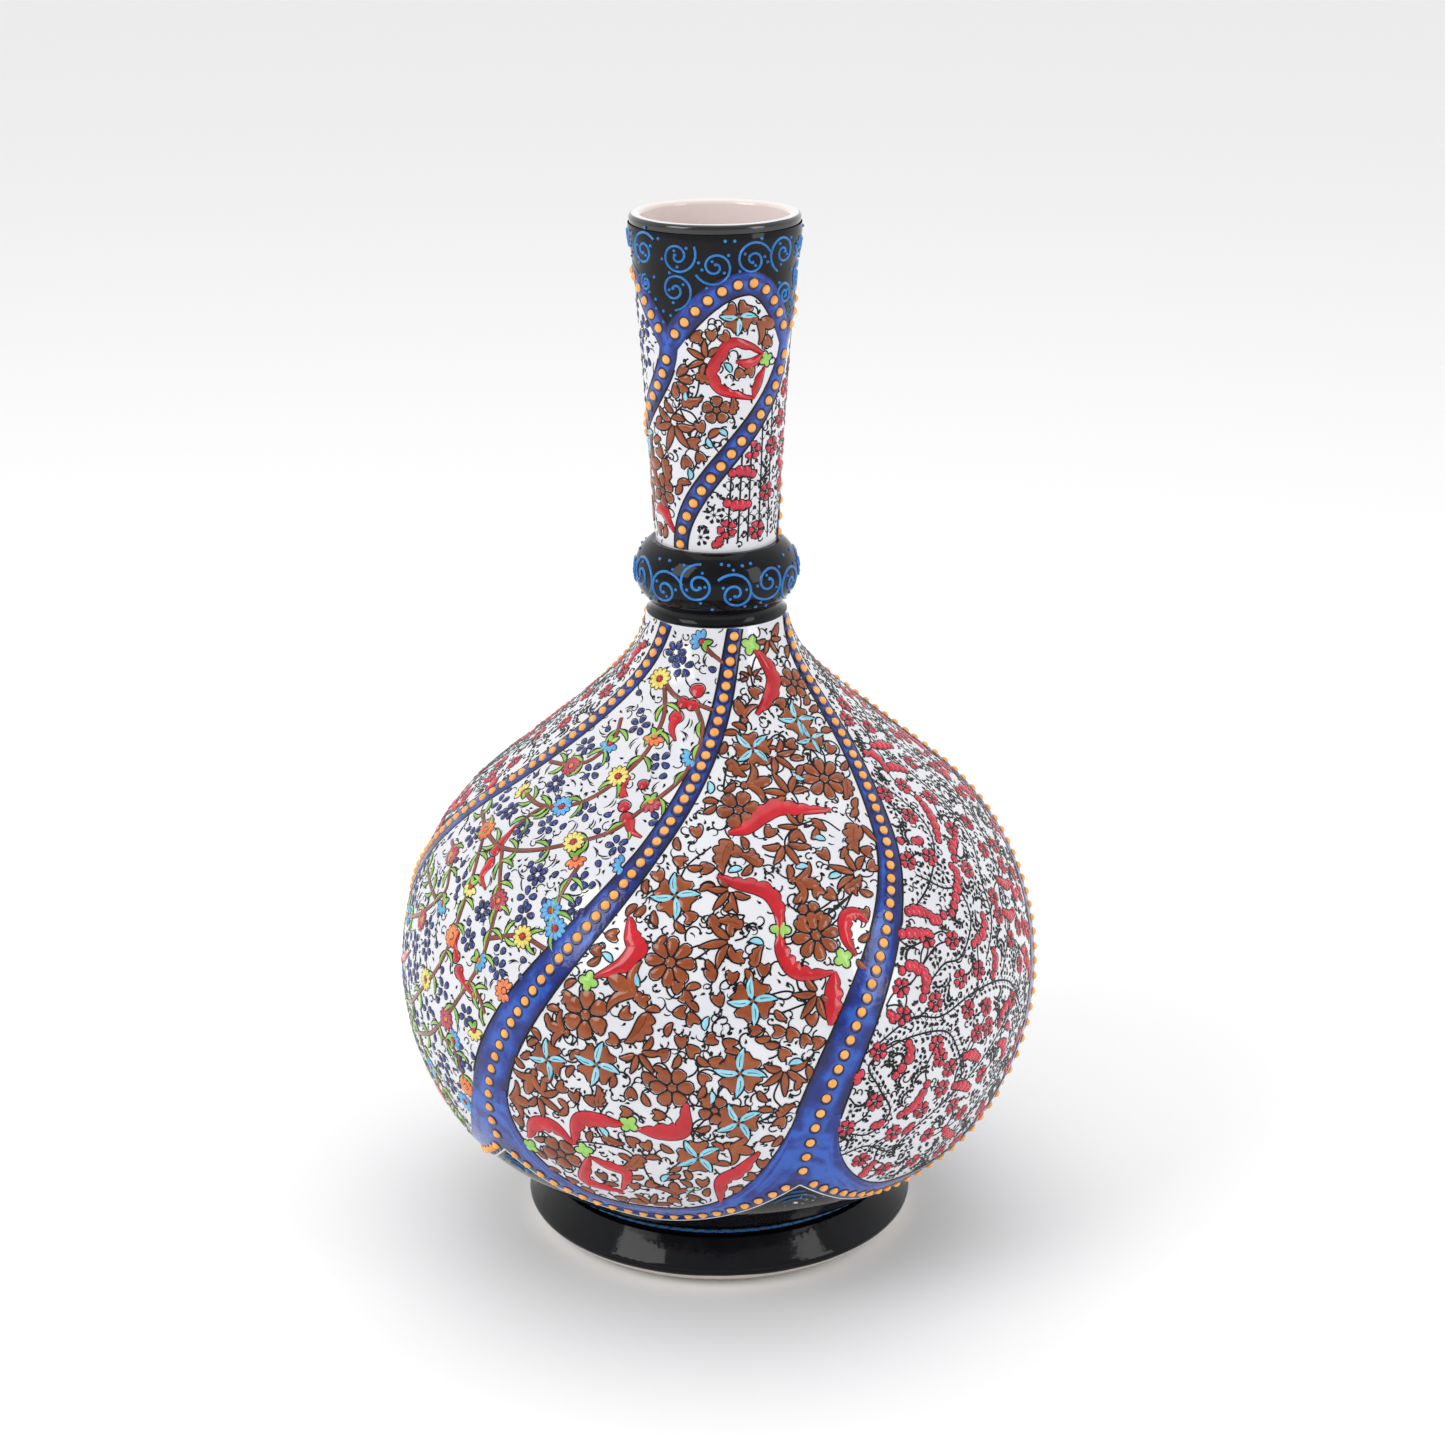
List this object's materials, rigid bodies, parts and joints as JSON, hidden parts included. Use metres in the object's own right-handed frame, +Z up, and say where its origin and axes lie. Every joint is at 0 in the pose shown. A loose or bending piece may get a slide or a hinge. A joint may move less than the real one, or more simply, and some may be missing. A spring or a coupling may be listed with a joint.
{
  "type": "swirl-banded bottle vase",
  "caption": "Round-bellied ceramic bottle vase with a foot ring, bulged neck collar, tall flared neck and raised beads along swirling painted bands.",
  "frame": {"origin": "centre of the foot ring's resting face", "axes": "+Z up the vase's axis, front of the painted panels towards -Y"},
  "size_m": [0.248, 0.248, 0.4],
  "materials": {
    "white_glaze": "gloss",
    "black_glaze": "gloss",
    "bead_glaze": "gloss",
    "slip": "matte"
  },
  "bodies": {
    "root": {"foot_ring": "black_glaze", "foot_slip": "slip", "lower_bowl": "white_glaze", "waist_slip": "slip", "upper_dome": "white_glaze", "throat_slip": "slip", "neck_collar": "black_glaze", "neck_slip": "slip", "neck_tube": "white_glaze", "body_beads_1": "bead_glaze", "body_beads_2": "bead_glaze", "body_beads_3": "bead_glaze", "body_beads_4": "bead_glaze", "body_beads_5": "bead_glaze", "body_beads_6": "bead_glaze", "garland_beads_1": "bead_glaze", "garland_beads_2": "bead_glaze", "garland_beads_3": "bead_glaze", "garland_beads_4": "bead_glaze", "garland_beads_5": "bead_glaze", "garland_beads_6": "bead_glaze", "neck_beads_1": "bead_glaze", "neck_beads_2": "bead_glaze", "neck_beads_3": "bead_glaze", "arch_beads_1": "bead_glaze", "arch_beads_2": "bead_glaze", "arch_beads_3": "bead_glaze"}
  },
  "joints": []
}
